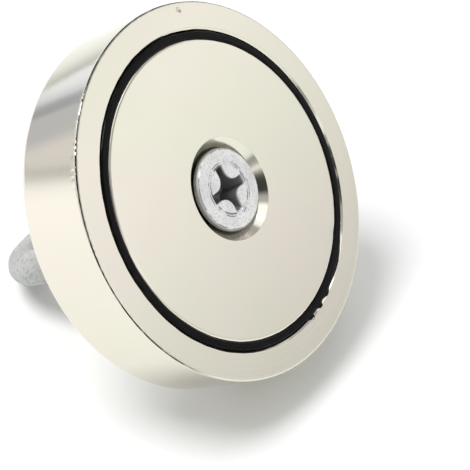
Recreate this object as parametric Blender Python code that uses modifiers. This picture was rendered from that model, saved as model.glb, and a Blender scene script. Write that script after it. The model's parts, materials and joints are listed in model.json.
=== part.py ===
"""Single-sided magnet fishing magnet, 67 mm pot with an M8 lifting eye nut.

Every piece is built about the magnet's own axis, local +Z, which points out of the working face.
The face is at local z = 0 and the pieces follow each other down to the eye. The empty
"magnet_axis" then lays the assembly down as it rests on a flat surface: on the back edge of the
pot and on the far side of the eye, with the eye's ring lying on its side. World +Z is up and
world -Y is the way the face looks.
"""

import math

import bmesh
import bpy
from mathutils import Matrix, Vector

# Driving dimensions, in metres
POT_RADIUS = 0.0335            # 67 mm pot
POT_HEIGHT = 0.0150
POCKET_RADIUS = 0.0284
POCKET_DEPTH = 0.0100
RIM_CHAMFER = 0.0005
BACK_EDGE_RADIUS = 0.0010
THROUGH_HOLE_RADIUS = 0.0045   # clearance hole for M8
GAP = 0.0003                   # between pieces that touch

MAGNET_RADIUS = 0.0268
MAGNET_CHAMFER = 0.0006
MAGNET_SET_BACK = 0.00015      # magnet's face below the pot's rim
GLUE_THICKNESS = 0.0004
SEAL_SET_BACK = 0.00045        # seal ring below the pot's rim
COUNTERSINK_RADIUS = 0.00925   # mouth of the magnet's 90 degree countersink

SCREW_LENGTH = 0.0300          # M8 x 30 countersunk screw
HEAD_RADIUS = 0.00740
HEAD_EDGE = 0.0011             # height of the head's cylindrical edge
RECESS_SPAN = 0.0088           # across the arms of the Phillips cross at its mouth
RECESS_WIDTH = 0.0018          # width of an arm
RECESS_PAD_RADIUS = 0.0020     # the rounded corners left between the arms
RECESS_DEPTH = 0.0042
RECESS_SLOPE = math.radians(26.5)
RECESS_TURN = math.radians(-2.4)
THREAD_PITCH = 0.00125         # M8 coarse, right-handed
THREAD_CREST = 0.00395         # crest radius of the screw's thread
THREAD_ROOT = 0.00325          # root radius of the screw's thread
THREAD_CREST_WIDTH = 0.00016
THREAD_CLEARANCE = 0.00012     # between the screw's thread and the nuts' threads
THREAD_START = -0.0142         # local z where the thread begins
THREAD_EMBED = 0.0002          # how deep the thread's ridge is rooted in its core

HEX_NUT_HEIGHT = 0.0065        # M8 hexagon nut, 13 mm across flats
HEX_NUT_FLATS = 0.0130
HEX_NUT_CHAMFER = math.radians(30)
SPRING_WASHER_INNER = 0.00425
SPRING_WASHER_OUTER = 0.00740
SPRING_WASHER_HEIGHT = 0.0020
SPRING_WASHER_SLOT = 0.0012
SPRING_WASHER_SLOT_TILT = math.radians(20)

EYE_RING_RADIUS = 0.0135       # centre line of the ring
EYE_SECTION_RADIUS = 0.0035
EYE_HUB_BASE_RADIUS = 0.0100
EYE_HUB_WAIST_RADIUS = 0.0076
EYE_HUB_TOP_RADIUS = 0.0064
EYE_HUB_EDGE = 0.0008

TURN_STEPS = 72                # facets round the large turned pieces
SMALL_STEPS = 36               # facets round the small turned pieces
THREAD_STEPS = 20              # facets in one turn of thread
EYE_RING_STEPS = 48            # facets round the eye's ring
MERGE = 0.000001
SMOOTH_ANGLE = math.radians(32)

# Places along the axis, worked out from the sizes above
MAGNET_FACE = -MAGNET_SET_BACK
GLUE_BACK = -POCKET_DEPTH + GAP
GLUE_FRONT = GLUE_BACK + GLUE_THICKNESS
MAGNET_BACK = GLUE_FRONT + GAP
# The head's 45 degree cone lies GAP from the magnet's
HEAD_TOP = MAGNET_FACE - (COUNTERSINK_RADIUS - GAP * math.sqrt(2) - HEAD_RADIUS - HEAD_EDGE)
SCREW_END = HEAD_TOP - SCREW_LENGTH
HEX_NUT_TOP = -POT_HEIGHT - GAP
SPRING_WASHER_TOP = HEX_NUT_TOP - HEX_NUT_HEIGHT - GAP
EYE_BASE = SPRING_WASHER_TOP - SPRING_WASHER_HEIGHT - GAP


def resting_tilt(ring_centre):
    """Angle of the axis above the ground when the pot's back edge and the eye both touch it.

    Both lie on the ground when reach * cos(tilt) - run * sin(tilt) = rise.
    """
    reach = POT_RADIUS - BACK_EDGE_RADIUS
    run = -ring_centre + EYE_RING_RADIUS - POT_HEIGHT + BACK_EDGE_RADIUS
    rise = EYE_SECTION_RADIUS - BACK_EDGE_RADIUS
    return math.acos(rise / math.hypot(reach, run)) - math.atan2(run, reach)


def clear_scene():
    for old in list(bpy.data.objects):
        bpy.data.objects.remove(old, do_unlink=True)


def new_collection(name):
    collection = bpy.data.collections.new(name)
    bpy.context.scene.collection.children.link(collection)
    return collection


def make_material(name, color, roughness, metallic):
    material = bpy.data.materials.new(name)
    material.use_nodes = True
    shader = material.node_tree.nodes["Principled BSDF"]
    shader.inputs["Base Color"].default_value = (*color, 1.0)
    shader.inputs["Roughness"].default_value = roughness
    shader.inputs["Metallic"].default_value = metallic
    return material


def add_object(name, mesh, collection, parent):
    piece = bpy.data.objects.new(name, mesh)
    collection.objects.link(piece)
    piece.parent = parent
    return piece


def profile_mesh(name, points, closed):
    """A mesh of edges only, through (radius, height) points at +X."""
    mesh = bpy.data.meshes.new(name)
    edges = [(i, i + 1) for i in range(len(points) - 1)]
    if closed:
        edges.append((len(points) - 1, 0))
    mesh.from_pydata([(radius, 0.0, height) for radius, height in points], edges, [])
    return mesh


def turn(piece, steps, pitch=0.0, turns=1):
    """Sweeps a profile round Z, climbing by pitch in each turn."""
    screw = piece.modifiers.new("Turn", "SCREW")
    screw.axis = "Z"
    screw.angle = 2 * math.pi
    screw.steps = steps
    screw.render_steps = steps
    screw.screw_offset = pitch
    screw.iterations = turns
    screw.use_merge_vertices = pitch == 0.0
    screw.merge_threshold = MERGE


def turned(name, points, steps, collection, parent, closed=True):
    """A turned piece. The points run down its outer side and back up its bore, if it has one.

    It is turned by half a facet, so that a flat and not a corner of its rim faces the ground.
    """
    piece = add_object(name, profile_mesh(name, points, closed), collection, parent)
    turn(piece, steps)
    piece.rotation_euler.z = math.pi / steps
    return piece


def arc(center_radius, center_height, radius, start, end, steps):
    """Points on a circular arc, from one angle in degrees to another."""
    angles = [math.radians(start + (end - start) * i / steps) for i in range(steps + 1)]
    return [(center_radius + radius * math.cos(a), center_height + radius * math.sin(a)) for a in angles]


def as_cutter(tool):
    tool.hide_render = True
    tool.display_type = "WIRE"
    return tool


def cut(piece, tool, operation="DIFFERENCE"):
    boolean = piece.modifiers.new(operation.capitalize() + " " + tool.name, "BOOLEAN")
    boolean.operation = operation
    boolean.solver = "EXACT"
    boolean.object = as_cutter(tool)


def bake(piece):
    """Replaces an object's mesh by what its modifiers make of it."""
    depsgraph = bpy.context.evaluated_depsgraph_get()
    mesh = bpy.data.meshes.new_from_object(piece.evaluated_get(depsgraph))
    piece.modifiers.clear()
    piece.data = mesh


def finish(piece, material):
    piece.data.materials.clear()
    bake(piece)
    piece.data.materials.append(material)
    piece.data.shade_smooth()
    piece.data.set_sharp_from_angle(angle=SMOOTH_ANGLE)


def thread_ridge(name, first_height, turns, root, crest, crest_width, cutters, axis):
    """The helical ridge of a 60 degree thread, rooted a little inside its core."""
    half_crest = crest_width / 2
    half_root = half_crest + (crest - root) * math.tan(math.radians(30))
    outline = [
        (root - THREAD_EMBED, half_root),
        (root, half_root),
        (crest, half_crest),
        (crest, -half_crest),
        (root, -half_root),
        (root - THREAD_EMBED, -half_root),
    ]
    points = [(radius, first_height + height) for radius, height in outline]
    ridge = add_object(name, profile_mesh(name, points, True), cutters, axis)
    turn(ridge, THREAD_STEPS, THREAD_PITCH, turns)
    bake(ridge)
    bm = bmesh.new()
    bm.from_mesh(ridge.data)
    open_edges = [edge for edge in bm.edges if edge.is_boundary]
    bmesh.ops.holes_fill(bm, edges=open_edges, sides=len(outline))
    bmesh.ops.recalc_face_normals(bm, faces=bm.faces)
    bm.to_mesh(ridge.data)
    bm.free()
    return ridge


def screw_thread_turns():
    """Whole turns of thread between its start and the chamfer at the screw's end."""
    chamfer = THREAD_CREST - THREAD_ROOT
    return int((THREAD_START - SCREW_END - chamfer - THREAD_PITCH / 2) / THREAD_PITCH)


def screw_thread_foot():
    """Height of the middle of the screw's thread where it begins at the screw's end."""
    return THREAD_START - THREAD_PITCH * screw_thread_turns() - THREAD_PITCH / 2


def cut_thread(nut, top, bottom, cutters, axis):
    """Bores a nut and cuts the thread that runs on the screw's, in step with it."""
    root = THREAD_ROOT + THREAD_CLEARANCE
    length = top - bottom
    bore = add_cylinder(nut.name + "_bore", root, length + 2 * THREAD_PITCH, (top + bottom) / 2,
                        THREAD_STEPS * 2, cutters, axis)
    cut(nut, bore)
    below = math.ceil((screw_thread_foot() - bottom) / THREAD_PITCH) + 1
    foot = screw_thread_foot() - below * THREAD_PITCH
    turns = math.ceil((top - foot) / THREAD_PITCH) + 1
    flank = THREAD_CLEARANCE / math.cos(math.radians(30))
    crest_width = THREAD_CREST_WIDTH + 2 * flank - 2 * THREAD_CLEARANCE * math.tan(math.radians(30))
    ridge = thread_ridge(nut.name + "_thread", foot, turns, root, THREAD_CREST + THREAD_CLEARANCE,
                         crest_width, cutters, axis)
    cut(nut, ridge)


def add_cylinder(name, radius, length, middle, steps, collection, parent, top_radius=None):
    """A cylinder along local Z about the height named middle, or a cone with its own top radius."""
    mesh = bpy.data.meshes.new(name)
    bm = bmesh.new()
    bmesh.ops.create_cone(bm, cap_ends=True, segments=steps, radius1=radius,
                          radius2=radius if top_radius is None else top_radius, depth=length,
                          matrix=Matrix.Translation((0, 0, middle)))
    bm.to_mesh(mesh)
    bm.free()
    return add_object(name, mesh, collection, parent)


def make_pot(parts, axis):
    """Steel cup that holds the magnet, with a plain hole for the screw."""
    edge = BACK_EDGE_RADIUS
    points = [
        (POCKET_RADIUS + RIM_CHAMFER, 0),
        (POT_RADIUS - RIM_CHAMFER, 0),
        (POT_RADIUS, -RIM_CHAMFER),
        *arc(POT_RADIUS - edge, -POT_HEIGHT + edge, edge, 0, -90, 4),
        (THROUGH_HOLE_RADIUS, -POT_HEIGHT),
        (THROUGH_HOLE_RADIUS, -POCKET_DEPTH),
        (POCKET_RADIUS, -POCKET_DEPTH),
        (POCKET_RADIUS, -RIM_CHAMFER),
    ]
    return turned("pot_cup", points, TURN_STEPS, parts, axis)


def make_magnet(parts, axis):
    """Ring magnet with a 90 degree countersink that seats the screw's head."""
    countersink_depth = COUNTERSINK_RADIUS - THROUGH_HOLE_RADIUS
    points = [
        (COUNTERSINK_RADIUS, MAGNET_FACE),
        (MAGNET_RADIUS - MAGNET_CHAMFER, MAGNET_FACE),
        (MAGNET_RADIUS, MAGNET_FACE - MAGNET_CHAMFER),
        (MAGNET_RADIUS, MAGNET_BACK + MAGNET_CHAMFER),
        (MAGNET_RADIUS - MAGNET_CHAMFER, MAGNET_BACK),
        (THROUGH_HOLE_RADIUS, MAGNET_BACK),
        (THROUGH_HOLE_RADIUS, MAGNET_FACE - countersink_depth),
    ]
    return turned("ring_magnet", points, TURN_STEPS, parts, axis)


def make_glue_bed(parts, axis):
    """Thin layer of adhesive between the magnet and the floor of the pot."""
    outer = POCKET_RADIUS - GAP
    inner = THROUGH_HOLE_RADIUS + GAP
    points = [(outer, GLUE_FRONT), (outer, GLUE_BACK), (inner, GLUE_BACK), (inner, GLUE_FRONT)]
    return turned("adhesive_bed", points, TURN_STEPS, parts, axis)


def make_seal_ring(parts, axis):
    """Epoxy cast into the gap between the magnet and the wall of the pot."""
    outer = POCKET_RADIUS - GAP
    inner = MAGNET_RADIUS + GAP
    points = [(outer, -SEAL_SET_BACK), (outer, MAGNET_BACK), (inner, MAGNET_BACK), (inner, -SEAL_SET_BACK)]
    return turned("epoxy_seal_ring", points, TURN_STEPS, parts, axis)


def recess_outline():
    """Cross-shaped outline of the Phillips recess, with a round pad between each two arms."""
    tip = RECESS_SPAN / 2 * 1.1
    side = RECESS_WIDTH / 2
    pad = side + RECESS_PAD_RADIUS
    quarter = [(tip, side), *arc(pad, pad, RECESS_PAD_RADIUS, 270, 180, 6), (side, tip)]
    outline = []
    for index in range(4):
        turn_angle = Matrix.Rotation(RECESS_TURN + index * math.pi / 2, 2)
        outline += [turn_angle @ Vector(point) for point in quarter]
    return outline


def recess_cutter(cutters, axis):
    """The recess: the cross cut straight down, inside a cone that narrows the arms with depth."""
    curve = bpy.data.curves.new("recess", "CURVE")
    curve.dimensions = "2D"
    curve.fill_mode = "BOTH"
    curve.extrude = RECESS_DEPTH
    outline = recess_outline()
    spline = curve.splines.new("POLY")
    spline.points.add(len(outline) - 1)
    for point, place in zip(spline.points, outline):
        point.co = (place.x, place.y, 0.0, 1.0)
    spline.use_cyclic_u = True
    flat = add_object("recess_curve", curve, cutters, axis)
    depsgraph = bpy.context.evaluated_depsgraph_get()
    mesh = bpy.data.meshes.new_from_object(flat.evaluated_get(depsgraph))
    bpy.data.objects.remove(flat, do_unlink=True)
    bm = bmesh.new()
    bm.from_mesh(mesh)
    bmesh.ops.remove_doubles(bm, verts=bm.verts, dist=MERGE)
    bmesh.ops.translate(bm, verts=bm.verts, vec=(0, 0, HEAD_TOP))
    bm.to_mesh(mesh)
    bm.free()
    recess = add_object("recess", mesh, cutters, axis)
    above = RECESS_DEPTH / 4
    slope = math.tan(RECESS_SLOPE)
    cone = add_cylinder("recess_cone", RECESS_SPAN / 2 - RECESS_DEPTH * slope, RECESS_DEPTH + above,
                        HEAD_TOP + (above - RECESS_DEPTH) / 2, 24, cutters, axis,
                        RECESS_SPAN / 2 + above * slope)
    cut(recess, cone, "INTERSECT")
    return recess


def make_screw(parts, cutters, axis):
    """M8 countersunk screw with a Phillips recess and a rolled thread."""
    cone_end = HEAD_TOP - HEAD_EDGE - (HEAD_RADIUS - THREAD_CREST)
    end_chamfer = 0.0006
    points = [
        (0, HEAD_TOP),
        (HEAD_RADIUS - 0.0002, HEAD_TOP),
        (HEAD_RADIUS, HEAD_TOP - 0.0002),
        (HEAD_RADIUS, HEAD_TOP - HEAD_EDGE),
        (THREAD_CREST, cone_end),
        (THREAD_CREST, THREAD_START + THREAD_CREST - THREAD_ROOT),
        (THREAD_ROOT, THREAD_START),
        (THREAD_ROOT, SCREW_END + end_chamfer),
        (THREAD_ROOT - end_chamfer, SCREW_END),
        (0, SCREW_END),
    ]
    screw = turned("countersunk_screw", points, SMALL_STEPS, parts, axis, closed=False)
    ridge = thread_ridge("screw_thread", screw_thread_foot(), screw_thread_turns(), THREAD_ROOT,
                         THREAD_CREST, THREAD_CREST_WIDTH, cutters, axis)
    cut(screw, ridge, "UNION")
    cut(screw, recess_cutter(cutters, axis))
    return screw


def make_hex_nut(parts, cutters, axis):
    """M8 hexagon nut that clamps the pot on the screw."""
    corner = HEX_NUT_FLATS / 2 / math.cos(math.pi / 6)
    bottom = HEX_NUT_TOP - HEX_NUT_HEIGHT
    middle = (HEX_NUT_TOP + bottom) / 2
    nut = add_cylinder("hex_nut", corner, HEX_NUT_HEIGHT, middle, 6, parts, axis)
    face_radius = HEX_NUT_FLATS / 2 * 0.97
    wide = corner * 1.02
    rise = (wide - face_radius) * math.tan(HEX_NUT_CHAMFER)
    points = [(0, HEX_NUT_TOP), (face_radius, HEX_NUT_TOP), (wide, HEX_NUT_TOP - rise),
              (wide, bottom + rise), (face_radius, bottom), (0, bottom)]
    cut(nut, turned("hex_nut_envelope", points, SMALL_STEPS, cutters, axis, closed=False), "INTERSECT")
    cut_thread(nut, HEX_NUT_TOP, bottom, cutters, axis)
    return nut


def make_spring_washer(parts, cutters, axis):
    """Split lock washer, pressed flat between the hexagon nut and the eye nut."""
    bottom = SPRING_WASHER_TOP - SPRING_WASHER_HEIGHT
    points = [(SPRING_WASHER_OUTER, SPRING_WASHER_TOP), (SPRING_WASHER_OUTER, bottom),
              (SPRING_WASHER_INNER, bottom), (SPRING_WASHER_INNER, SPRING_WASHER_TOP)]
    washer = turned("spring_washer", points, SMALL_STEPS, parts, axis)
    middle = (SPRING_WASHER_INNER + SPRING_WASHER_OUTER) / 2
    mesh = bpy.data.meshes.new("washer_slot")
    bm = bmesh.new()
    bmesh.ops.create_cube(bm, size=1.0)
    bmesh.ops.scale(bm, verts=bm.verts,
                    vec=(SPRING_WASHER_OUTER, SPRING_WASHER_SLOT, 3 * SPRING_WASHER_HEIGHT))
    bm.to_mesh(mesh)
    bm.free()
    slot = add_object("washer_slot", mesh, cutters, axis)
    slot.rotation_euler = (SPRING_WASHER_SLOT_TILT, 0, 0)
    slot.location = (middle, 0, (SPRING_WASHER_TOP + bottom) / 2)
    cut(washer, slot)
    return washer


def make_eye_nut(parts, cutters, axis, ring_centre):
    """Forged lifting eye nut: a threaded hub with a closed ring in the local XZ plane."""
    hub_end = ring_centre + EYE_RING_RADIUS - EYE_SECTION_RADIUS - 0.0006
    points = [
        (0, EYE_BASE),
        (EYE_HUB_BASE_RADIUS - EYE_HUB_EDGE, EYE_BASE),
        (EYE_HUB_BASE_RADIUS, EYE_BASE - EYE_HUB_EDGE),
        (EYE_HUB_BASE_RADIUS, EYE_BASE - 2.5 * EYE_HUB_EDGE),
        (EYE_HUB_WAIST_RADIUS, EYE_BASE - 5.5 * EYE_HUB_EDGE),
        (EYE_HUB_TOP_RADIUS, hub_end + EYE_HUB_EDGE),
        (EYE_HUB_TOP_RADIUS - EYE_HUB_EDGE, hub_end),
        (0, hub_end),
    ]
    eye = turned("eye_nut", points, SMALL_STEPS, parts, axis, closed=False)
    bpy.ops.mesh.primitive_torus_add(major_radius=EYE_RING_RADIUS, minor_radius=EYE_SECTION_RADIUS,
                                     major_segments=EYE_RING_STEPS, minor_segments=16)
    ring = bpy.context.object
    ring.name = "eye_ring"
    for collection in list(ring.users_collection):
        collection.objects.unlink(ring)
    cutters.objects.link(ring)
    ring.parent = axis
    ring.data.transform(Matrix.Rotation(math.pi / EYE_RING_STEPS, 4, "Z"))
    ring.rotation_euler = (math.pi / 2, 0, 0)
    ring.location = (0, 0, ring_centre)
    cut(eye, ring, "UNION")
    cut_thread(eye, EYE_BASE, hub_end, cutters, axis)
    return eye


def lay_down(axis, ring_centre):
    """Tips the assembly on to the ground and centres its box on the world origin."""
    tilt = resting_tilt(ring_centre)
    front = (POT_RADIUS - RIM_CHAMFER) * math.sin(tilt)
    back = (EYE_RING_RADIUS - ring_centre) * math.cos(tilt) + EYE_SECTION_RADIUS
    edge_radius = POT_RADIUS - BACK_EDGE_RADIUS
    edge_height = POT_HEIGHT - BACK_EDGE_RADIUS
    lift = edge_radius * math.cos(tilt) + edge_height * math.sin(tilt) + BACK_EDGE_RADIUS
    axis.rotation_euler = (math.pi / 2 - tilt, 0, 0)
    axis.location = (0, (front - back) / 2, lift)


def main():
    clear_scene()
    parts = new_collection("fishing_magnet")
    cutters = new_collection("cutters")
    axis = add_object("magnet_axis", None, parts, None)
    ring_centre = EYE_BASE - EYE_RING_RADIUS - EYE_SECTION_RADIUS
    nickel = make_material("nickel_plate", (0.79, 0.77, 0.71), 0.14, 1.0)
    magnet_nickel = make_material("magnet_nickel", (0.80, 0.78, 0.70), 0.12, 1.0)
    epoxy = make_material("black_epoxy", (0.012, 0.012, 0.014), 0.15, 0.0)
    glue = make_material("clear_glue", (0.55, 0.50, 0.38), 0.40, 0.0)
    zinc = make_material("matte_zinc", (0.62, 0.62, 0.61), 0.45, 0.9)
    cast_zinc = make_material("cast_zinc", (0.50, 0.50, 0.50), 0.60, 0.8)
    pieces = [
        (make_pot(parts, axis), nickel),
        (make_magnet(parts, axis), magnet_nickel),
        (make_glue_bed(parts, axis), glue),
        (make_seal_ring(parts, axis), epoxy),
        (make_screw(parts, cutters, axis), zinc),
        (make_hex_nut(parts, cutters, axis), zinc),
        (make_spring_washer(parts, cutters, axis), zinc),
        (make_eye_nut(parts, cutters, axis, ring_centre), cast_zinc),
    ]
    for piece, material in pieces:
        finish(piece, material)
    lay_down(axis, ring_centre)


main()
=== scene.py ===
"""Looks of the magnet fishing magnet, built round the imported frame.

Each piece is modelled about the magnet's own axis: local +Z points out of the working face, the
face's centre is the local origin, and local X is world X. SEAT lays the pieces down in the frame.
Lengths are in metres, and the names that end in _AT are angles in degrees round the local axis.
"""

import json
import math

import bmesh
import bpy
import numpy as np
from mathutils import Matrix, Vector, noise


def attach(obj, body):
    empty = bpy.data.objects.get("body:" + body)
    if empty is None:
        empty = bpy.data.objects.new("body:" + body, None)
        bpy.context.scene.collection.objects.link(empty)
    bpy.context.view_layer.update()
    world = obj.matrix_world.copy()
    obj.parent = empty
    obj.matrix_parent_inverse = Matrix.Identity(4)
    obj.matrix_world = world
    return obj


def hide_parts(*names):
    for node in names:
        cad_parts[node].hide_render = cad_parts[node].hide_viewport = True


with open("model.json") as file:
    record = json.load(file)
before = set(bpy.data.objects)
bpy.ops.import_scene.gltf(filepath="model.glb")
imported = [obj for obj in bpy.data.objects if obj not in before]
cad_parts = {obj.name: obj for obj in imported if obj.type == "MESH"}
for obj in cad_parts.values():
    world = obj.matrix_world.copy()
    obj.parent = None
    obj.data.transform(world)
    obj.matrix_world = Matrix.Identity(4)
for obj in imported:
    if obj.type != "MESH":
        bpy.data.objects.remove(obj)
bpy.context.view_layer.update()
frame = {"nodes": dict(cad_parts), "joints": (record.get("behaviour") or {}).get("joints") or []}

MM = 1e-3
UM = 1e-6
TURN = next(joint for joint in frame["joints"] if joint["name"] == "unscrew_turn")
FACE = Vector(TURN["pos_m"])
NORMAL = Vector(TURN["axis"]).normalized()
ACROSS = Vector((1, 0, 0))
UPWARD = NORMAL.cross(ACROSS)
SEAT = Matrix((ACROSS, UPWARD, NORMAL)).transposed().to_4x4()
SEAT.translation = FACE


# ---------------------------------------------------------------- sizes, taken from the frame

def span(node):
    """(least radius, greatest radius, lowest height, greatest height) of a CAD node."""
    to_local = SEAT.inverted()
    points = np.array([to_local @ v.co for v in frame["nodes"][node].data.vertices])
    radius = np.hypot(points[:, 0], points[:, 1])
    return radius.min(), radius.max(), points[:, 2].min(), points[:, 2].max()


HOLE_RADIUS, POT_RADIUS, POT_BACK, _ = span("pot_cup")
_, MAGNET_RADIUS, MAGNET_BACK, MAGNET_FACE = span("ring_magnet")
_, SEAL_OUTER, _, SEAL_FRONT = span("epoxy_seal_ring")
_, HEAD_RADIUS, SCREW_END, HEAD_TOP = span("countersunk_screw")
_, NUT_CORNER, NUT_BOTTOM, NUT_TOP = span("hex_nut")
WASHER_INNER, WASHER_OUTER, WASHER_BOTTOM, WASHER_TOP = span("spring_washer")
_, _, EYE_END, EYE_BASE = span("eye_nut")

GAP = 0.3 * MM                        # the frame's gap between pieces that touch
POCKET_RADIUS = SEAL_OUTER + GAP
POCKET_FLOOR = MAGNET_BACK - 1.0 * MM
HOLE_CHAMFER = 0.5 * MM               # at the back of the pot's hole
GROOVE_EDGE = 0.36 * MM               # small bevel where the rim meets the groove
OUTER_EDGE = 0.42 * MM                # rounding of the rim's outer edge
MAGNET_EDGE = 0.55 * MM               # rounding of the magnet's outer edge
BACK_EDGE = 1.0 * MM                  # the pot rests on this edge, so it matches the frame's
COUNTERSINK_RADIUS = 9.25 * MM        # at the magnet's face
HEAD_EDGE = 1.1 * MM                  # height of the head's cylindrical edge

PITCH = 1.25 * MM                     # M8 coarse thread
CREST = 3.95 * MM                     # radius at the tops of the screw's thread
ROOT = 3.25 * MM                      # radius at its bottoms
THREAD_CLEARANCE = 0.12 * MM          # the nuts' threads are this much larger in radius
THREAD_START = -14.2 * MM             # height at which the shank's thread begins
THREAD_PHASE = THREAD_START - PITCH / 2

RECESS_SPAN = 8.8 * MM                # across the cross, from tip to tip
RECESS_HALF_ARM = 0.9 * MM
RECESS_PAD = 2.0 * MM                 # radius of the curve between two arms
RECESS_DEPTH = 4.2 * MM
RECESS_SLOPE = math.tan(math.radians(26.5))
RECESS_TURN = math.radians(-2.4)

EYE_RING = 13.5 * MM                  # radius of the ring's centre line
EYE_SECTION = 3.5 * MM                # radius of its section
EYE_FLAT = 0.90                       # the ring's sides are flattened to this share of its section
RING_CENTRE = EYE_END + EYE_RING + EYE_SECTION
HUB_BASE = 10.0 * MM                  # radius of the hub where it meets the washer
HUB_WAIST = 7.6 * MM
HUB_TOP = 6.4 * MM                    # radius of the hub inside the ring
HUB_END = RING_CENTRE + EYE_RING - EYE_SECTION - 0.6 * MM

PIT_AT = 71.8                         # dent in the pot's rim
PIT_RADIUS = 32.0 * MM
NIBBLED_AT = 146.0                    # where the rim's outer edge is roughest
DEEP_RINGS_AT = 245.0                 # where the lathe rings on the rim are deepest
OVERFLOW_AT = 278.3                   # epoxy spilled on the rim
SMEAR_AT = 300.0                      # epoxy wiped over the groove's edge
NICK_AT = 311.3                       # chip in the magnet's edge
CHIPPED_AT = 125.0                    # where the edge of the screw's head is most chipped

# Lathe rings on the rim: (radius in millimetres, depth in micrometres).
RIM_RINGS = ((32.95, 6.0), (32.72, 4.0), (32.45, 3.5), (32.1, 2.0), (31.2, 1.2), (29.9, 1.4))


# ---------------------------------------------------------------- mesh tools

def circle(count, extra=()):
    """Angles round a turn, with more of them near the places in extra: (degrees, half width, step)."""
    angles = set(np.round(np.linspace(0, 360, count, endpoint=False), 4))
    for middle, half, step in extra:
        angles |= set(np.round(np.arange(middle - half, middle + half, step) % 360, 4))
    return np.radians(sorted(angles))


def wobble(angles, waves, seed, size=1.0):
    """Smooth noise round a turn, mostly between -size and size, from sines with these wave counts."""
    random = np.random.default_rng(seed)
    total = np.zeros_like(angles)
    for count in waves:
        total += np.sin(count * angles + random.uniform(0, 2 * math.pi))
    return size * total / math.sqrt(len(waves))


def bell(distance, width):
    """A smooth bump of height 1 where distance is 0, fading over width."""
    return np.exp(-(distance / width) ** 2)


def away(angles, middle):
    """How far the angles are from the angle middle, in degrees between -180 and 180."""
    return (np.degrees(angles) - middle + 180) % 360 - 180


def near(angles, middle, half):
    """A smooth bump of height 1 round the angle middle, in degrees, fading over half degrees."""
    return bell(away(angles, middle), half)


def fillet(points, closed=True, steps=5):
    """Rounds a profile's corners. Each point is (radius, height, rounding), as lengths.

    A point just beyond each end of an arc keeps the flat next to it flat in the shading.
    """
    result = []
    count = len(points)
    for i, (x, y, rounding) in enumerate(points):
        corner = np.array((x, y))
        if rounding == 0 or (not closed and i in (0, count - 1)):
            result.append(corner)
            continue
        before = np.array(points[i - 1][:2]) - corner
        after = np.array(points[(i + 1) % count][:2]) - corner
        before, after = before / np.linalg.norm(before), after / np.linalg.norm(after)
        half = math.acos(np.clip(before @ after, -1, 1)) / 2
        reach = rounding / math.tan(half)
        centre = corner + (before + after) / np.linalg.norm(before + after) * rounding / math.sin(half)
        first, last = corner + before * reach - centre, corner + after * reach - centre
        support = 0.25 * rounding
        result.append(corner + before * (reach + support))
        for step in range(steps + 1):
            blend = step / steps
            turned = math.sin((1 - blend) * (math.pi - 2 * half)) * first
            turned = turned + math.sin(blend * (math.pi - 2 * half)) * last
            result.append(centre + turned / math.sin(math.pi - 2 * half))
        result.append(corner + after * (reach + support))
    return np.array(result)


def divide(profile, spacing, closed=True):
    """Adds points to a profile so that none are further apart than spacing."""
    result = []
    count = len(profile)
    for i in range(count if closed else count - 1):
        start, end = profile[i], profile[(i + 1) % count]
        parts = max(1, math.ceil(np.linalg.norm(end - start) / spacing))
        result += [start + (end - start) * j / parts for j in range(parts)]
    if not closed:
        result.append(profile[-1])
    return np.array(result)


def revolve(profile, angles):
    """Radius and height, as arrays of profile point by angle."""
    ones = np.ones((1, len(angles)))
    return profile[:, :1] * ones, profile[:, 1:2] * ones


def polar(radius, height, angles):
    """Points from radius and height at each angle."""
    return np.stack([radius * np.cos(angles), radius * np.sin(angles), height], axis=-1)


def skin(name, grid, loop=False, capped=False):
    """A mesh through grid[ring, point]. Each ring is closed; the rings may form a loop or be capped."""
    rings, count = grid.shape[:2]
    vertices = [tuple(p) for p in grid.reshape(-1, 3)]
    faces = []
    for ring in range(rings if loop else rings - 1):
        here, there = ring * count, (ring + 1) % rings * count
        faces += [(here + i, here + (i + 1) % count, there + (i + 1) % count, there + i)
                  for i in range(count)]
    if capped:
        for ring in (0, rings - 1):
            vertices.append(tuple(grid[ring].mean(axis=0)))
            first = ring * count
            faces += [(first + i, first + (i + 1) % count, len(vertices) - 1) for i in range(count)]
    mesh = bpy.data.meshes.new(name)
    mesh.from_pydata(vertices, [], faces)
    bm = bmesh.new()
    bm.from_mesh(mesh)
    bmesh.ops.recalc_face_normals(bm, faces=bm.faces)
    bm.to_mesh(mesh)
    bm.free()
    piece = bpy.data.objects.new(name, mesh)
    bpy.context.scene.collection.objects.link(piece)
    return piece


def bake(piece):
    """Applies the piece's modifiers."""
    depsgraph = bpy.context.evaluated_depsgraph_get()
    mesh = bpy.data.meshes.new_from_object(piece.evaluated_get(depsgraph))
    piece.modifiers.clear()
    piece.data = mesh


def finish_piece(piece, node, body, material, sharp=50):
    """Seats a piece in the frame in place of its CAD node. Angles over sharp degrees stay sharp."""
    piece.data.materials.clear()
    piece.data.materials.append(material)
    piece.data.shade_smooth()
    piece.data.set_sharp_from_angle(angle=math.radians(sharp))
    piece.data.transform(SEAT)
    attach(piece, body)
    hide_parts(node)


# ---------------------------------------------------------------- materials

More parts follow.
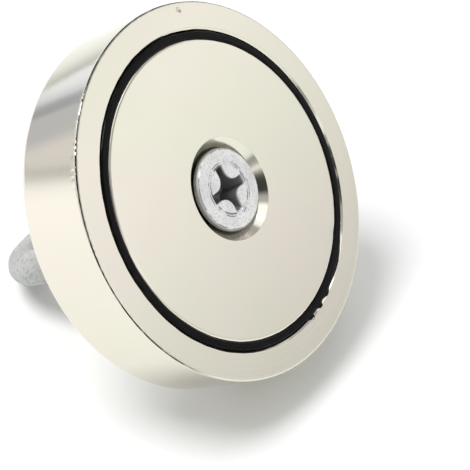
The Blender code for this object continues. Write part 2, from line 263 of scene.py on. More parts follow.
class Tree:
    """Short names for building a node tree."""

    def __init__(self, tree):
        self.tree = tree

    def add(self, kind, **settings):
        node = self.tree.nodes.new(kind)
        for key, value in settings.items():
            setattr(node, key, value)
        return node

    def link(self, source, target):
        self.tree.links.new(source, target)

    def feed(self, value, target):
        """Sets a socket to a number or an RGB tuple, or links another socket to it."""
        if isinstance(value, tuple):
            target.default_value = (*value, 1.0)
        elif isinstance(value, (int, float)):
            target.default_value = value
        else:
            self.link(value, target)

    def math(self, operation, first, second=0.0):
        node = self.add("ShaderNodeMath", operation=operation)
        self.feed(first, node.inputs[0])
        self.feed(second, node.inputs[1])
        return node.outputs[0]

    def between(self, factor, low, high, start=0.3, end=0.7):
        """Maps factor from start..end to low..high, smoothly."""
        node = self.add("ShaderNodeMapRange", interpolation_type="SMOOTHSTEP")
        self.link(factor, node.inputs["Value"])
        for socket, value in zip(node.inputs[1:5], (start, end, low, high)):
            socket.default_value = value
        return node.outputs[0]

    def mix(self, factor, first, second, blend="MIX"):
        """Mixes two colours; each is an RGB tuple or a socket."""
        node = self.add("ShaderNodeMix", data_type="RGBA", blend_type=blend)
        self.feed(factor, node.inputs[0])
        self.feed(first, node.inputs[6])
        self.feed(second, node.inputs[7])
        return node.outputs[2]


class Nodes(Tree):
    """A material's node tree, with coordinates in the magnet's own axes."""

    def __init__(self, name, color, metallic, roughness):
        self.material = bpy.data.materials.new(name)
        self.material.use_nodes = True
        super().__init__(self.material.node_tree)
        self.shader = self.tree.nodes["Principled BSDF"]
        self.set("Base Color", (*color, 1.0))
        self.set("Metallic", metallic)
        self.set("Roughness", roughness)
        to_local = SEAT.inverted()
        unseat = self.add("ShaderNodeMapping")
        unseat.inputs["Location"].default_value = to_local.translation
        unseat.inputs["Rotation"].default_value = to_local.to_euler()
        self.link(self.add("ShaderNodeTexCoord").outputs["Object"], unseat.inputs["Vector"])
        self.place = unseat.outputs[0]

    def set(self, socket, value):
        self.shader.inputs[socket].default_value = value

    def to_shader(self, source, socket):
        self.link(source, self.shader.inputs[socket])

    def axial(self):
        """Sockets for x, y, height and radius about the magnet's axis."""
        split = self.add("ShaderNodeSeparateXYZ")
        self.link(self.place, split.inputs[0])
        x, y, height = split.outputs
        squared = self.math("ADD", self.math("MULTIPLY", x, x), self.math("MULTIPLY", y, y))
        return x, y, height, self.math("SQRT", squared)

    def lathe(self, across, around):
        """Coordinates that change fast from ring to ring and slowly round the axis."""
        x, y, height, radius = self.axial()
        join = self.add("ShaderNodeCombineXYZ")
        self.link(self.math("MULTIPLY", self.math("ADD", radius, height), across), join.inputs[0])
        safe = self.math("MAXIMUM", radius, 1 * MM)
        self.link(self.math("MULTIPLY", self.math("DIVIDE", x, safe), around), join.inputs[1])
        self.link(self.math("MULTIPLY", self.math("DIVIDE", y, safe), around), join.inputs[2])
        return join.outputs[0]

    def recess_depth(self):
        """0 on the screw's head, rising to 1 a little way down in its recess."""
        _, _, height, radius = self.axial()
        inner = self.math("LESS_THAN", radius, RECESS_SPAN * 0.54)
        down = self.between(height, 1.0, 0.0, HEAD_TOP - 0.7 * MM, HEAD_TOP - 0.04 * MM)
        return self.math("MULTIPLY", inner, down)

    # Mask for thin dark lines painted in place of shade and reflection.
    def painted_dark_line(self, radius, height, width, in_gaps):
        """1 on a thin line round the axis at this radius and height, and 0 elsewhere.

        The line is patchy: it falls to in_gaps between its strongest stretches.
        """
        _, _, level, across = self.axial()
        out = self.math("SUBTRACT", across, radius)
        down = self.math("SUBTRACT", level, height)
        squared = self.math("ADD", self.math("MULTIPLY", out, out), self.math("MULTIPLY", down, down))
        line = self.between(self.math("SQRT", squared), 1.0, 0.0, width * 0.5, width)
        patchy = self.between(self.noise(420.0), in_gaps, 1.0, 0.42, 0.52)
        return self.math("MULTIPLY", line, patchy)

    def noise(self, scale, detail=3.0, roughness=0.5, place=None, distortion=0.0):
        node = self.add("ShaderNodeTexNoise")
        node.inputs["Scale"].default_value = scale
        node.inputs["Detail"].default_value = detail
        node.inputs["Roughness"].default_value = roughness
        node.inputs["Distortion"].default_value = distortion
        self.link(self.place if place is None else place, node.inputs["Vector"])
        return node.outputs["Fac"]

    def bump(self, *layers):
        """Bump from layers of (height socket, strength, distance in metres)."""
        normal = None
        for height, strength, distance in layers:
            node = self.add("ShaderNodeBump")
            node.inputs["Strength"].default_value = strength
            node.inputs["Distance"].default_value = distance
            self.link(height, node.inputs["Height"])
            if normal is not None:
                self.link(normal, node.inputs["Normal"])
            normal = node.outputs[0]
        self.to_shader(normal, "Normal")


def nickel(name, tints, roughness, ring_bump, edge=None):
    """Bright nickel plate: tinted clouds, fine lathe rings and faint smudges.

    The tints are the plain, the greener and the pinker colour. The edge, if any, holds the line mask's
    values for a painted dark reflection along the rim's edge, which fades out towards the bottom of the
    magnet.
    """
    plain, greener, pinker = tints
    # Colour of the painted dark reflection along the rim's edge.
    painted_dark = (0.05, 0.048, 0.045)
    m = Nodes(name, plain, 1.0, roughness)
    clouds = m.noise(32.0, 2.0, 0.45, distortion=0.4)
    tint = m.mix(m.between(clouds, 0.0, 1.0, 0.38, 0.64), greener, pinker)
    rings = m.noise(1.0, 4.0, 0.65, place=m.lathe(2600.0, 1.6))
    tint = m.mix(m.between(rings, 0.0, 0.35, 0.45, 0.75), tint, plain)
    if edge:
        # Painted dark reflection on the rim's edge, fading out towards the bottom.
        _, y, _, _ = m.axial()
        above = m.between(y, 0.0, 1.0, -0.72 * POT_RADIUS, -0.45 * POT_RADIUS)
        tint = m.mix(m.math("MULTIPLY", m.painted_dark_line(*edge), above), tint, painted_dark)
    m.to_shader(tint, "Base Color")
    smudge = m.between(m.noise(110.0), roughness * 0.85, roughness * 1.3, 0.4, 0.72)
    grain = m.between(m.noise(9000.0, 2.0), -0.02, 0.03)
    m.to_shader(m.math("ADD", smudge, grain), "Roughness")
    m.bump((rings, ring_bump, 0.02 * MM), (m.noise(1500.0, 2.0), 0.05, 0.02 * MM))
    return m.material


def head_painted_shade(m, tone):
    """Painted shade on the screw's head: dark lines at its ring marks and chamfer top, a darker outer
    edge that dims its highlight, and shade in the recess.
    """
    # Colours of painted shade: the dark lines, the darker outer edge and the recess.
    painted_dark, painted_edge_shade, painted_recess_shade = (0.20, 0.20, 0.20), (0.22, 0.22, 0.21), (0.21, 0.21, 0.21)
    # Dark lines painted as shade in the ring marks and at the top of the chamfer.
    for radius, width in ((4.42, 0.20), (4.85, 0.12), (7.14, 0.16)):
        tone = m.mix(m.painted_dark_line(radius * MM, HEAD_TOP, width * MM, 0.1), tone, painted_dark)
    _, _, height, across = m.axial()
    # The head's outer edge and side are painted darker, a painted shade that dims their highlight.
    outside = m.between(across, 0.0, 0.62, 7.10 * MM, 7.24 * MM)
    on_head = m.math("GREATER_THAN", height, HEAD_TOP - HEAD_EDGE)
    tone = m.mix(m.math("MULTIPLY", outside, on_head), tone, painted_edge_shade)
    # Painted shade in the recess, full a little way down.
    return m.mix(m.recess_depth(), tone, painted_recess_shade)


def zinc(name, light, dark, roughness, metallic, grain_scale, grain_depth, add_painted_shade=None):
    """Matte zinc plate: mottled grey with a fine crystalline grain, and any painted shade on top."""
    m = Nodes(name, light, metallic, roughness)
    speckle = m.noise(grain_scale, 4.0, 0.7)
    patches = m.noise(grain_scale / 9, 3.0, 0.55)
    tone = m.mix(m.between(patches, 0.0, 0.55, 0.35, 0.7), light, dark)
    tone = m.mix(m.between(speckle, 0.0, 0.9, 0.46, 0.66), tone, dark)
    # Any painted shade goes on top of the zinc's own colours.
    if add_painted_shade:
        tone = add_painted_shade(m, tone)
    m.to_shader(tone, "Base Color")
    m.to_shader(m.between(speckle, roughness * 0.85, roughness * 1.2), "Roughness")
    m.bump((speckle, 0.7, grain_depth), (patches, 0.35, grain_depth * 2))
    return m.material


def epoxy():
    """Black casting epoxy, glossy, with faint drag lines round the groove."""
    dark, light = (0.003, 0.003, 0.003), (0.010, 0.010, 0.010)
    m = Nodes("black_epoxy_gloss", (0.006, 0.006, 0.007), 0.0, 0.16)
    drag = m.noise(1.0, 3.0, 0.6, place=m.lathe(2600.0, 14.0))
    m.to_shader(m.mix(m.between(drag, 0.0, 1.0, 0.45, 0.8), dark, light), "Base Color")
    m.to_shader(m.between(m.noise(1400.0, 4.0), 0.05, 0.12), "Roughness")
    m.set("Specular IOR Level", 0.09)
    m.bump((drag, 0.25, 0.05 * MM), (m.noise(2200.0), 0.15, 0.04 * MM))
    return m.material


def glue():
    """Cured clear adhesive, slightly yellow, with bubbles."""
    light, dark = (0.58, 0.52, 0.38), (0.44, 0.39, 0.27)
    m = Nodes("clear_glue_cured", (0.55, 0.50, 0.38), 0.0, 0.35)
    bubbles = m.noise(1800.0, 2.0)
    m.to_shader(m.mix(m.between(bubbles, 0.0, 1.0, 0.4, 0.7), light, dark), "Base Color")
    m.to_shader(m.between(m.noise(500.0), 0.25, 0.5), "Roughness")
    m.bump((bubbles, 0.4, 0.1 * MM))
    return m.material


# ---------------------------------------------------------------- pieces

def make_pot(material):
    """Turned cup, with tool rings on its rim, a dent in the rim and a nibbled outer edge."""
    angles = circle(720, extra=((PIT_AT, 1.6, 0.08), (NIBBLED_AT + 2, 42, 0.25)))
    profile = divide(fillet([
        (POCKET_RADIUS + GROOVE_EDGE, 0, 0.12 * MM),
        (POT_RADIUS, 0, OUTER_EDGE),
        (POT_RADIUS, POT_BACK, BACK_EDGE),
        (HOLE_RADIUS + HOLE_CHAMFER, POT_BACK, 0.12 * MM),
        (HOLE_RADIUS, POT_BACK + HOLE_CHAMFER, 0.12 * MM),
        (HOLE_RADIUS, POCKET_FLOOR, 0.12 * MM),
        (POCKET_RADIUS, POCKET_FLOOR, 0.30 * MM),
        (POCKET_RADIUS, -GROOVE_EDGE, 0.12 * MM),
    ]), 1.2 * MM)
    radius, height = revolve(with_fine_rim(profile), angles)
    by_edge = np.clip(1 + height / (0.55 * MM), 0, 1)
    by_groove = np.clip(1 + height / (1.2 * MM), 0, 1)

    edge = bell(radius - POT_RADIUS, 0.35 * MM) * by_edge
    nibble = wobble(angles, range(90, 260, 7), 3) * (0.15 + 0.75 * near(angles, NIBBLED_AT, 24))
    radius += edge * 0.05 * MM * nibble
    height += edge * 0.022 * MM * wobble(angles, range(70, 190, 9), 5)

    inner = bell(radius - POCKET_RADIUS - 0.35 * MM, 0.3 * MM) * by_groove
    radius += inner * 0.03 * MM * wobble(angles, (5, 9, 14, 23, 37, 61), 8)

    for ring, depth in RIM_RINGS:
        line = bell(radius - ring * MM, 0.07 * MM) * (height > -0.05 * MM)
        uneven = 0.6 + 0.4 * wobble(angles, (1, 2, 3), int(ring * 10))
        height -= line * depth * UM * (uneven + 1.8 * near(angles, DEEP_RINGS_AT, 45))
    aside = PIT_RADIUS * np.radians(away(angles, PIT_AT))
    pit = bell(np.hypot(radius - PIT_RADIUS, aside), 0.34 * MM)
    height -= pit * 0.22 * MM * (height > -0.3 * MM)

    back = height < POT_BACK + 0.05 * MM
    for ring in np.arange(8 * MM, POT_RADIUS - 2 * MM, 2.4 * MM):
        height -= back * 3 * UM * bell(radius - ring, 0.6 * MM)
    piece = skin("pot_cup_skin", polar(radius, height, angles), loop=True)
    finish_piece(piece, "pot_cup", "magnet", material, sharp=70)


def with_fine_rim(profile):
    """The pot's profile with more points on its rim, enough for the lathe rings."""
    fine = np.arange(POCKET_RADIUS + 0.8 * MM, POT_RADIUS - 0.62 * MM, 0.09 * MM)
    radius, height = profile[:, 0], profile[:, 1]
    beside = 0.1 * MM
    coarse = (np.abs(height) < 1e-9) & (radius > fine[0] - beside) & (radius < fine[-1] + beside)
    first = int(np.argmax(coarse))
    kept = profile[~coarse]
    return np.vstack([kept[:first], np.stack([fine, np.zeros_like(fine)], axis=-1), kept[first:]])


def make_magnet(material):
    """Plated ring magnet with a countersink, and a chip in its outer edge."""
    angles = circle(480, extra=((NICK_AT, 3.0, 0.12),))
    floor_height = MAGNET_FACE - (COUNTERSINK_RADIUS - HOLE_RADIUS)
    profile = divide(fillet([
        (COUNTERSINK_RADIUS, MAGNET_FACE, 0.10 * MM),
        (MAGNET_RADIUS, MAGNET_FACE, MAGNET_EDGE),
        (MAGNET_RADIUS, MAGNET_BACK, 0.4 * MM),
        (HOLE_RADIUS, MAGNET_BACK, 0.2 * MM),
        (HOLE_RADIUS, floor_height, 0.3 * MM),
    ]), 0.7 * MM)
    radius, height = revolve(profile, angles)
    front = height > MAGNET_FACE - 1.5 * MM
    uneven = 0.02 * MM * wobble(angles, (7, 13, 19, 31, 47, 71), 21)
    radius += bell(radius - MAGNET_RADIUS, 0.5 * MM) * front * uneven
    aside = 0.5 * MAGNET_RADIUS * np.radians(away(angles, NICK_AT))
    chip = bell(np.hypot(radius - MAGNET_RADIUS, aside), 0.5 * MM) * front
    height -= 0.05 * MM * chip
    radius -= 0.12 * MM * chip
    piece = skin("ring_magnet_skin", polar(radius, height, angles), loop=True)
    finish_piece(piece, "ring_magnet", "magnet", material)


def make_epoxy(material):
    """Epoxy ring: an uneven bead that fills the groove, with a spill on the rim and a smear."""
    angles = circle(720, extra=((OVERFLOW_AT, 12, 0.25),))
    across = np.linspace(0, 1, 33)[:, None]
    spill = near(angles, OVERFLOW_AT - 4.5, 1.6) + 0.7 * near(angles, OVERFLOW_AT + 2.0, 1.8)
    spill = spill + 0.4 * near(angles, OVERFLOW_AT + 8.0, 2.5) + 0.55 * near(angles, SMEAR_AT, 14)
    inner = MAGNET_RADIUS - 0.16 * MM + wobble(angles, (3, 8, 17, 29, 53), 31, 0.035 * MM)
    outer = POCKET_RADIUS + 0.06 * MM + wobble(angles, (4, 11, 19, 37, 59), 33, 0.04 * MM)
    outer = outer + 0.5 * MM * spill
    level = SEAL_FRONT - 0.10 * MM + wobble(angles, (2, 5, 9, 14), 35, 0.04 * MM)
    peak = level + 0.42 * MM + wobble(angles, (3, 7, 12, 20), 37, 0.03 * MM)
    inner_fall = 0.40 * MM * np.clip(1 - across / 0.22, 0, 1) ** 2
    outer_fall = 0.58 * MM * np.clip((across - 0.70) / 0.30, 0, 1) ** 1.35
    top = peak - inner_fall - outer_fall - 0.05 * MM * (across - 0.45) ** 2
    ripple = 0.008 * MM * np.sin(5 * math.pi * across + wobble(angles, (2, 3, 5), 39, 2.0))
    top = top + ripple * np.sin(math.pi * across)
    lift = np.clip(1.6 * spill, 0, 1) * across ** 2
    top = top * (1 - lift) + 0.04 * MM * lift

    all_round = np.ones((1, len(angles)))
    shoulder = SEAL_FRONT - 0.9 * MM
    radius = np.vstack([MAGNET_RADIUS * all_round, inner + (outer - inner) * across,
                        POCKET_RADIUS * all_round, POCKET_RADIUS * all_round, MAGNET_RADIUS * all_round])
    height = np.vstack([shoulder * all_round, top,
                        shoulder * all_round, MAGNET_BACK * all_round, MAGNET_BACK * all_round])
    piece = skin("epoxy_seal_skin", polar(radius, height, angles), loop=True)
    finish_piece(piece, "epoxy_seal_ring", "magnet", material)


def recess_ring(depth, points_in_quarter=64):
    """Outline of the cross recess at a depth below the head, as complex numbers."""
    tip = RECESS_SPAN / 2 - depth * RECESS_SLOPE
    side = RECESS_HALF_ARM - depth * 0.05
    pad = min(RECESS_PAD, tip - side - 0.05 * MM)
    quarter = [complex(tip, 0), complex(tip, side)]
    centre = complex(side + pad, side + pad)
    quarter += [centre + pad * complex(math.cos(a), math.sin(a))
                for a in np.radians(np.linspace(270, 180, 13))]
    quarter += [complex(side, tip), complex(0, tip)]
    line = np.array(quarter)
    steps = np.concatenate([[0], np.cumsum(np.abs(np.diff(line)))])
    wanted = np.linspace(0, steps[-1], points_in_quarter, endpoint=False)
    part = np.interp(wanted, steps, line.real) + 1j * np.interp(wanted, steps, line.imag)
    ring = np.concatenate([part * 1j ** turn for turn in range(4)])
    ring = (np.roll(ring, 1) + 2 * ring + np.roll(ring, -1)) / 4
    return ring * np.exp(1j * RECESS_TURN)


def thread_radius(height, angles, root, crest, crest_width):
    """Radius of a right-handed 60 degree thread at each height and angle."""
    phase = (height - THREAD_PHASE) / PITCH - angles / (2 * math.pi)
    off_crest = np.abs((phase + 0.5) % 1.0 - 0.5) * PITCH
    flank = (off_crest - crest_width / 2) / math.tan(math.radians(30))
    return np.clip(crest - flank, root, crest)


def near_pads(points):
    """1 between the arms of the recess and 0 on them."""
    turn = (np.angle(points) - RECESS_TURN) % (math.pi / 2) / (math.pi / 2)
    return np.clip(1.6 * np.sin(math.pi * turn) - 0.55, 0, 1)


def make_screw(material):
    """M8 countersunk screw: slightly domed head with ring marks, cross recess, shank and thread.

    Its mesh is a stack of rings with the same number of points. It starts at the bottom of the
    recess, and goes up, out over the head and down the shank.
    """
    ring = recess_ring(0)
    count = len(ring)
    angles = np.angle(ring[0]) + np.arange(count) * 2 * math.pi / count
    round_ring = np.exp(1j * angles)
    rows = []

    def add(points, height):
        rows.append(np.stack([points.real, points.imag, np.broadcast_to(height, count)], axis=-1))

    add(recess_ring(RECESS_DEPTH) * 0.30, HEAD_TOP - RECESS_DEPTH - 0.75 * MM)
    add(recess_ring(RECESS_DEPTH) * 0.85, HEAD_TOP - RECESS_DEPTH - 0.12 * MM)
    for depth in np.linspace(RECESS_DEPTH, 0.20 * MM, 16):
        add(recess_ring(depth), HEAD_TOP - depth)
    lip = 0.045
    for drop, grow in ((0.10, 0.003), (0.03, 0.008), (0.0, 0.017), (-0.012, 0.026), (0.0, lip)):
        add(ring * (1 + grow), HEAD_TOP - drop * MM)

    blend_radius = 5.5 * MM
    uneven = 0.6 + 0.4 * wobble(angles, (3, 5, 11, 17), 51)
    for step in np.linspace(0.04, 1, 36):
        points = ring * (1 + lip) * (1 - step) + round_ring * blend_radius * step
        marks = 0.10 * bell(np.abs(points) - 4.42 * MM, 0.11 * MM)
        marks = marks + 0.05 * bell(np.abs(points) - 5.05 * MM, 0.09 * MM)
        add(points, HEAD_TOP - marks * uneven * MM * near_pads(points))

    flat_end = HEAD_RADIUS - 0.55 * MM
    for across in np.linspace(blend_radius + 0.1 * MM, flat_end, 8):
        add(round_ring * across, HEAD_TOP - 0.02 * MM * ((across - blend_radius) / (2 * MM)) ** 2)
    side = fillet([
        (flat_end + 0.02 * MM, HEAD_TOP - 0.012 * MM, 0),
        (HEAD_RADIUS - 0.35 * MM, HEAD_TOP - 0.02 * MM, 0.10 * MM),
        (HEAD_RADIUS, HEAD_TOP - 0.36 * MM, 0.14 * MM),
        (HEAD_RADIUS, HEAD_TOP - HEAD_EDGE, 0.12 * MM),
        (CREST, HEAD_TOP - HEAD_EDGE - (HEAD_RADIUS - CREST), 0.5 * MM),
        (CREST, THREAD_START + 0.6 * MM, 0.1 * MM),
    ], closed=False)
    chips = wobble(angles, (9, 14, 23, 31, 44, 57), 61) * (0.3 + 0.7 * near(angles, CHIPPED_AT, 40))
    for across, height in divide(side, 0.6 * MM, closed=False):
        chipped = 0.07 * MM * bell(across - HEAD_RADIUS + 0.15 * MM, 0.2 * MM)
        add(round_ring * (across - chipped * np.abs(chips)), height)

    end_chamfer = 0.7 * MM
    for height in np.arange(THREAD_START + 0.5 * MM, SCREW_END, -PITCH / 16):
        fade = np.clip((height - THREAD_START) / (0.5 * MM), 0, 1)
        across = thread_radius(height, angles, ROOT, CREST, 0.16 * MM) * (1 - fade) + CREST * fade
        if height < SCREW_END + end_chamfer:
            across = np.minimum(across, ROOT - 0.20 * MM + height - SCREW_END)
        add(round_ring * across, height)
    add(round_ring * (ROOT - 0.4 * MM), SCREW_END)
    add(round_ring * (ROOT - 1.6 * MM), SCREW_END)
    piece = skin("countersunk_screw_skin", np.array(rows), capped=True)
    finish_piece(piece, "countersunk_screw", "magnet", material, sharp=42)


def threaded_bore(heights, angles):
    """Radius of a nut's thread, which clears the screw's all along."""
    return thread_radius(heights, angles, ROOT + THREAD_CLEARANCE, CREST + THREAD_CLEARANCE, 0.26 * MM)


def smooth_least(a, b, width):
    """The smaller of two lengths, rounded where they cross."""
    blend = np.clip(0.5 + (b - a) / (2 * width), 0, 1)
    return b + (a - b) * blend - width * blend * (1 - blend)


def make_hex_nut(material):
    """Hexagon nut with chamfered corners and a real thread."""
    angles = circle(360)
    flats = NUT_CORNER * math.cos(math.pi / 6)
    sector = (angles + math.pi / 6) % (math.pi / 3) - math.pi / 6
    hexagon = np.minimum(flats / np.cos(sector), NUT_CORNER - 0.05 * MM)
    tall = NUT_TOP - NUT_BOTTOM
    slope = math.tan(math.radians(60))
    chamfer = 1.2 * MM
    near_end = np.linspace(0, chamfer, 14)
    rows = []

    def add(radius, height):
        rows.append(polar(radius * np.ones_like(angles), np.full_like(angles, height), angles))

    for depth in np.unique(np.concatenate([near_end, tall - near_end])):
        cone = flats * 0.97 + min(depth, tall - depth) * slope
        add(smooth_least(hexagon, cone, 0.12 * MM), NUT_TOP - depth)
    mouth = CREST + 0.45 * MM
    add(mouth, NUT_BOTTOM)
    for height in np.arange(NUT_BOTTOM + PITCH * 0.35, NUT_TOP - PITCH * 0.35, PITCH / 12):
        add(threaded_bore(height, angles), height)
    add(mouth, NUT_TOP)
    piece = skin("hex_nut_skin", np.array(rows), loop=True)
    finish_piece(piece, "hex_nut", "magnet", material, sharp=38)


def make_spring_washer(material):
    """Split spring washer: a rounded square section bent round to a slanting split."""
    half = (WASHER_OUTER - WASHER_INNER) / 2
    thick = WASHER_TOP - WASHER_BOTTOM
    middle = (WASHER_OUTER + WASHER_INNER) / 2
    corners = ((half, thick / 2), (half, -thick / 2), (-half, -thick / 2), (-half, thick / 2))
    section = divide(fillet([(x, y, 0.18 * MM) for x, y in corners]), 0.5 * MM)
    slot = 1.2 * MM / middle
    slant = math.tan(math.radians(20))
    rows = []
    for turn in np.linspace(slot / 2, 2 * math.pi - slot / 2, 181):
        near_split = abs(math.cos(turn / 2)) ** 3
        angle = turn - section[:, 1] * slant / middle * near_split
        rows.append(polar(middle + section[:, 0], WASHER_BOTTOM + thick / 2 + section[:, 1], angle))
    piece = skin("spring_washer_skin", np.array(rows), capped=True)
    finish_piece(piece, "spring_washer", "washer", material, sharp=45)


def make_eye_nut(material):
    """Forged eye nut: hub and ring flow into each other, with a parting line and a blasted skin."""
    turn = np.linspace(0, 2 * math.pi, 40, endpoint=False)
    half_flat = EYE_SECTION * EYE_FLAT
    across = EYE_RING + EYE_SECTION * np.cos(turn)
    side = np.clip(EYE_SECTION * np.sin(turn), -half_flat, half_flat)
    rows = []
    for angle in np.linspace(0, 2 * math.pi, 128, endpoint=False):
        along = RING_CENTRE + across * math.sin(angle)
        rows.append(np.stack([across * math.cos(angle), side, along], axis=-1))
    eye = skin("eye_nut_skin", np.array(rows), loop=True)
    hub_points = fillet([
        (0.5 * MM, EYE_BASE, 0),
        (HUB_BASE, EYE_BASE, 0.8 * MM),
        (HUB_BASE, EYE_BASE - 2.4 * MM, 1.2 * MM),
        (HUB_WAIST, EYE_BASE - 4.6 * MM, 2.0 * MM),
        (HUB_TOP, HUB_END, 1.6 * MM),
        (0.5 * MM, HUB_END, 0),
    ], closed=False)
    angles = circle(96)
    radius, height = revolve(divide(hub_points, 1 * MM, closed=False), angles)
    hub = skin("eye_hub", polar(radius, height, angles), capped=True)
    bm = bmesh.new()
    bm.from_mesh(eye.data)
    bm.from_mesh(hub.data)
    bm.to_mesh(eye.data)
    bm.free()
    bpy.data.objects.remove(hub, do_unlink=True)
    remesh = eye.modifiers.new("Blend", "REMESH")
    remesh.mode = "VOXEL"
    remesh.voxel_size = 0.32 * MM
    bake(eye)
    blend_forging(eye.data)
    bore = make_bore_tool()
    cut = eye.modifiers.new("Bore", "BOOLEAN")
    cut.operation = "DIFFERENCE"
    cut.solver = "EXACT"
    cut.object = bore
    bake(eye)
    bpy.data.objects.remove(bore, do_unlink=True)
    finish_piece(eye, "eye_nut", "eye", material, sharp=42)


def blend_forging(mesh):
    """Smooths the union of hub and ring, then gives it a parting line and blasted lumps."""
    count = len(mesh.vertices)
    places = np.zeros(count * 3, np.float32)
    mesh.vertices.foreach_get("co", places)
    places = places.reshape(-1, 3).astype(float)
    ends = np.zeros(len(mesh.edges) * 2, np.int32)
    mesh.edges.foreach_get("vertices", ends)
    ends = ends.reshape(-1, 2)
    degree = np.bincount(ends.ravel(), minlength=count)[:, None]
    hub_join = bell(places[:, 2] - HUB_END - 1.0 * MM, 3.2 * MM)[:, None]
    off_base = np.where(places[:, 2] > EYE_BASE - 0.05 * MM, 0.0, 1.0)[:, None]
    passes_all_over, passes = 10, 60
    for step in range(passes):
        total = np.zeros_like(places)
        np.add.at(total, ends[:, 0], places[ends[:, 1]])
        np.add.at(total, ends[:, 1], places[ends[:, 0]])
        share = 0.5 * (1.0 if step < passes_all_over else hub_join) * off_base
        places += share * (total / degree - places)
    mesh.vertices.foreach_set("co", places.astype(np.float32).ravel())
    mesh.update()
    normals = np.zeros(count * 3, np.float32)
    mesh.vertices.foreach_get("normal", normals)
    normals = normals.reshape(-1, 3)
    lumps = np.array([blasted(Vector(place)) for place in places])
    from_centre = np.hypot(places[:, 0], places[:, 2] - RING_CENTRE)
    parting = bell(places[:, 1], 0.28 * MM) * (from_centre > EYE_RING + 1 * MM)
    parting = parting * (places[:, 2] < EYE_BASE - 6 * MM)
    lift = (lumps * 0.05 * MM + parting * 0.10 * MM) * off_base[:, 0]
    lift = np.minimum(lift, 0) + np.maximum(lift, 0) * 0.5
    places += normals * lift[:, None]
    mesh.vertices.foreach_set("co", places.astype(np.float32).ravel())
    mesh.update()


def blasted(place):
    """Lumpy height of the forging's skin, more sunken than raised."""
    coarse, middle, fine = noise.noise(place * 420), noise.noise(place * 1400), noise.noise(place * 2600)
    return coarse + 0.6 * middle + 0.5 * fine - 0.5


def make_bore_tool():
    """Cutter for the eye nut's threaded hole."""
    angles = circle(96)
    mouth = CREST + 0.6 * MM
    rows = []

    def add(radius, height):
        rows.append(polar(radius * np.ones_like(angles), np.full_like(angles, height), angles))

    add(mouth + 0.5 * MM, EYE_BASE + 0.5 * MM)
    for height in np.arange(EYE_BASE - 0.1 * MM, HUB_END - 0.3 * MM, -PITCH / 10):
        from_end = min(EYE_BASE - height, height - HUB_END)
        add(np.maximum(threaded_bore(height, angles), mouth - max(from_end, 0)), height)
    add(mouth + 0.8 * MM, HUB_END - 1.4 * MM)
    return skin("eye_bore", np.array(rows), capped=True)


# ---------------------------------------------------------------- stage, light and camera

# The camera was fitted to the circles of the magnet's face in the photograph.
CAMERA_PLACE = Vector((-0.157918, -0.116722, 0.176033))
CAMERA_RIGHT = Vector((0.5485, -0.8361, 0.0122))
CAMERA_BACK = Vector((-0.6566, -0.4216, 0.6255))
CAMERA_LENS = 103.67                  # focal length in millimetres, on a sensor 36 mm wide

KEY_LIGHT = (-0.29, 0.30, 0.91)
KEY_SIZE = 0.50
KEY_POWER = 6.9

BACKDROP = 0.80                       # what the camera sees behind the floor
TENT_GAIN = 1.075                     # all of the tent together
TENT_LIMIT = 1.35                     # the brightest level that the tent's ramp can hold
# The tent's brightness by height: (elevation in degrees, level).
TENT_LEVELS = ((0, 0.66), (5, 0.69), (8, 0.78), (13, 0.93), (18, 1.04), (27, 0.95), (38, 0.50),
               (50, 0.42), (62, 0.45), (73, 0.50), (80, 1.25), (90, 1.25))
# Round patches of the tent: (azimuth, elevation, full within, gone beyond, tint), in degrees.
TENT_PATCHES = ((171, 3, 1, 4, (0.72, 0.72, 0.74)), (176, 3, 5, 14, (0.84, 0.86, 0.94)),
                (148, 0, 8, 26, (1.46, 1.50, 1.66)), (-164, 0, 4, 13, (1.18, 1.15, 1.15)),
                (104, 11, 12, 24, (0.50, 0.50, 0.50)), (-38, 4, 5, 16, (0.55, 0.55, 0.55)),
                (110, 70, 7, 13, (2.4, 2.4, 2.4)))
FLAG_SHADE = 0.90                     # how much of the tent's light the dark flag takes
FLAG_ASIDE = -5.0                     # its azimuth, in degrees from the camera's


def make_camera():
    """The photograph's view."""
    data = bpy.data.cameras.new("camera")
    data.lens = CAMERA_LENS
    data.sensor_width = 36.0
    data.clip_start = 0.01
    camera = bpy.data.objects.new("camera", data)
    bpy.context.scene.collection.objects.link(camera)
    back = CAMERA_BACK.normalized()
    up = back.cross(CAMERA_RIGHT).normalized()
    right = up.cross(back)
    camera.matrix_world = Matrix((right, up, back)).transposed().to_4x4()
    camera.matrix_world.translation = CAMERA_PLACE
    bpy.context.scene.camera = camera


def make_floor():
    """A wide flat disk. Its innermost ring is small, and the hole in it is filled."""
    angles = circle(64)
    level = np.zeros_like(angles)
    rows = [polar(np.full_like(angles, radius), level, angles) for radius in (0.05, 0.5, 4.0)]
    floor = skin("floor", np.array(rows))
    bm = bmesh.new()
    bm.from_mesh(floor.data)
    hole = [edge for edge in bm.edges if edge.is_boundary and edge.verts[0].co.length < 0.1]
    bmesh.ops.holes_fill(bm, edges=hole)
    bmesh.ops.recalc_face_normals(bm, faces=bm.faces)
    bm.to_mesh(floor.data)
    bm.free()
    m = Nodes("pale_floor", (0.892, 0.90, 0.895), 0.0, 0.7)
    m.set("Specular IOR Level", 0.2)
    floor.data.materials.append(m.material)


def make_light(name, place, size, power):
    """A round soft light aimed at the world's origin."""
    data = bpy.data.lights.new(name, "AREA")
    data.shape = "DISK"
    data.size = size
    data.energy = power
    light = bpy.data.objects.new(name, data)
    bpy.context.scene.collection.objects.link(light)
    light.location = place
    light.rotation_euler = (-Vector(place)).to_track_quat("-Z", "Y").to_euler()


def toward(azimuth, elevation=0.0):
    """Unit vector to a place on the tent, in degrees: azimuth 0 is -Y and 90 is +X."""
    around, up = math.radians(azimuth), math.radians(elevation)
    return math.sin(around) * math.cos(up), -math.cos(around) * math.cos(up), math.sin(up)


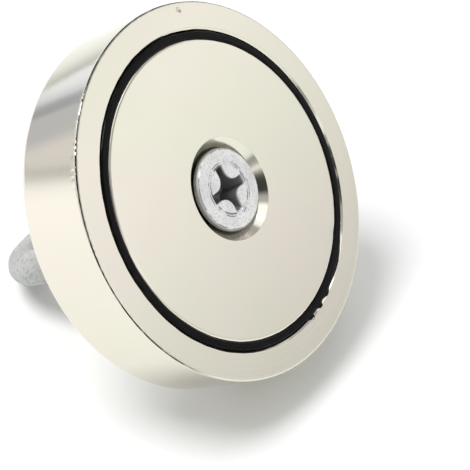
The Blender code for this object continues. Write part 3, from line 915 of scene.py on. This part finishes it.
class Tent(Tree):
    """The world's node tree: light that depends on the direction it comes from."""

    def __init__(self, world):
        world.use_nodes = True
        super().__init__(world.node_tree)
        self.direction = self.add("ShaderNodeTexCoord").outputs["Generated"]
        split = self.add("ShaderNodeSeparateXYZ")
        self.link(self.direction, split.inputs[0])
        self.height = split.outputs[2]

    def dot(self, vector):
        """Dot product of the light's direction and a fixed vector."""
        node = self.add("ShaderNodeVectorMath", operation="DOT_PRODUCT")
        self.link(self.direction, node.inputs[0])
        node.inputs[1].default_value = vector
        return node.outputs["Value"]

    def levels(self):
        """Brightness by height, as a share of TENT_LIMIT."""
        ramp = self.add("ShaderNodeValToRGB")
        self.link(self.height, ramp.inputs[0])
        elements = ramp.color_ramp.elements
        while len(elements) < len(TENT_LEVELS):
            elements.new(0.5)
        for element, (elevation, level) in zip(elements, TENT_LEVELS):
            share = level / TENT_LIMIT
            element.position = math.sin(math.radians(elevation))
            element.color = (share, share, share, 1.0)
        return ramp.outputs[0]

    def patch(self, light, azimuth, elevation, inside, outside, tint):
        """Multiplies the light from a round patch of the tent by tint."""
        start, end = math.cos(math.radians(outside)), math.cos(math.radians(inside))
        cover = self.between(self.dot(toward(azimuth, elevation)), 0.0, 1.0, start, end)
        return self.mix(cover, light, tint, blend="MULTIPLY")

    def flag(self, azimuth):
        """1 on a tall narrow flag, like a strip of black cloth, at this azimuth, and 0 elsewhere."""
        aside = self.math("ABSOLUTE", self.dot(toward(azimuth + 90)))
        ahead = self.math("GREATER_THAN", self.dot(toward(azimuth)), 0.2)
        narrow = self.math("MULTIPLY", ahead, self.between(aside, 1.0, 0.0, 0.09, 0.21))
        above = self.between(self.height, 0.0, 1.0, 0.04, 0.22)
        below = self.between(self.height, 1.0, 0.0, 0.80, 0.92)
        return self.math("MULTIPLY", narrow, self.math("MULTIPLY", above, below))


def make_world():
    """A tent of soft light: bright low down and overhead, darker between, with a dark flag in front.

    It lights the scene and shows in reflections. The camera itself sees a plain backdrop.
    """
    world = bpy.data.worlds.new("studio")
    bpy.context.scene.world = world
    tent = Tent(world)
    light = tent.levels()
    for patch in TENT_PATCHES:
        light = tent.patch(light, *patch)
    front = math.degrees(math.atan2(CAMERA_PLACE.x, -CAMERA_PLACE.y))
    shade = tent.math("MULTIPLY", tent.flag(front + FLAG_ASIDE), FLAG_SHADE)
    light = tent.mix(1.0, light, tent.math("SUBTRACT", 1.0, shade), blend="MULTIPLY")
    strength = TENT_LIMIT * TENT_GAIN
    plain = BACKDROP / strength
    seen = tent.add("ShaderNodeLightPath").outputs["Is Camera Ray"]
    background = tent.tree.nodes["Background"]
    tent.link(tent.mix(seen, light, (plain, plain, plain)), background.inputs["Color"])
    background.inputs["Strength"].default_value = strength


# ---------------------------------------------------------------- the scene

# Nickel's plain, greener and pinker colours, and zinc's light and dark ones.
POT_TINTS = ((0.765, 0.735, 0.635), (0.755, 0.737, 0.625), (0.777, 0.733, 0.645))
MAGNET_TINTS = ((0.787, 0.755, 0.652), (0.772, 0.760, 0.640), (0.803, 0.752, 0.665))
SCREW_TINTS = ((0.88, 0.88, 0.87), (0.62, 0.62, 0.62))
CAST_TINTS = ((0.52, 0.525, 0.51), (0.33, 0.335, 0.32))


def main():
    bpy.context.scene.view_settings.view_transform = "Standard"
    make_camera()
    make_floor()
    make_world()
    make_light("key", KEY_LIGHT, KEY_SIZE, KEY_POWER)
    # The pot's rim gets a thin, patchy painted dark reflection at the 45 degree point of its outer edge.
    inset = OUTER_EDGE * (1 - math.sqrt(0.5))
    rim_painted_line = (POT_RADIUS - inset, -inset, 0.17 * MM, 0.7)
    pot_nickel = nickel("pot_nickel_plate", POT_TINTS, roughness=0.06, ring_bump=0.2, edge=rim_painted_line)
    magnet_nickel = nickel("magnet_nickel_plate", MAGNET_TINTS, roughness=0.11, ring_bump=0.06)
    screw_zinc = zinc("matte_zinc_plate", *SCREW_TINTS, roughness=0.5, metallic=0.55,
                      grain_scale=2200.0, grain_depth=0.04 * MM, add_painted_shade=head_painted_shade)
    cast_zinc = zinc("cast_zinc_plate", *CAST_TINTS, roughness=0.6, metallic=0.45,
                     grain_scale=1500.0, grain_depth=0.08 * MM)
    make_pot(pot_nickel)
    make_magnet(magnet_nickel)
    make_epoxy(epoxy())
    make_screw(screw_zinc)
    make_hex_nut(screw_zinc)
    make_spring_washer(screw_zinc)
    make_eye_nut(cast_zinc)
    bed = frame["nodes"]["adhesive_bed"]
    bed.data.materials.clear()
    bed.data.materials.append(glue())


main()
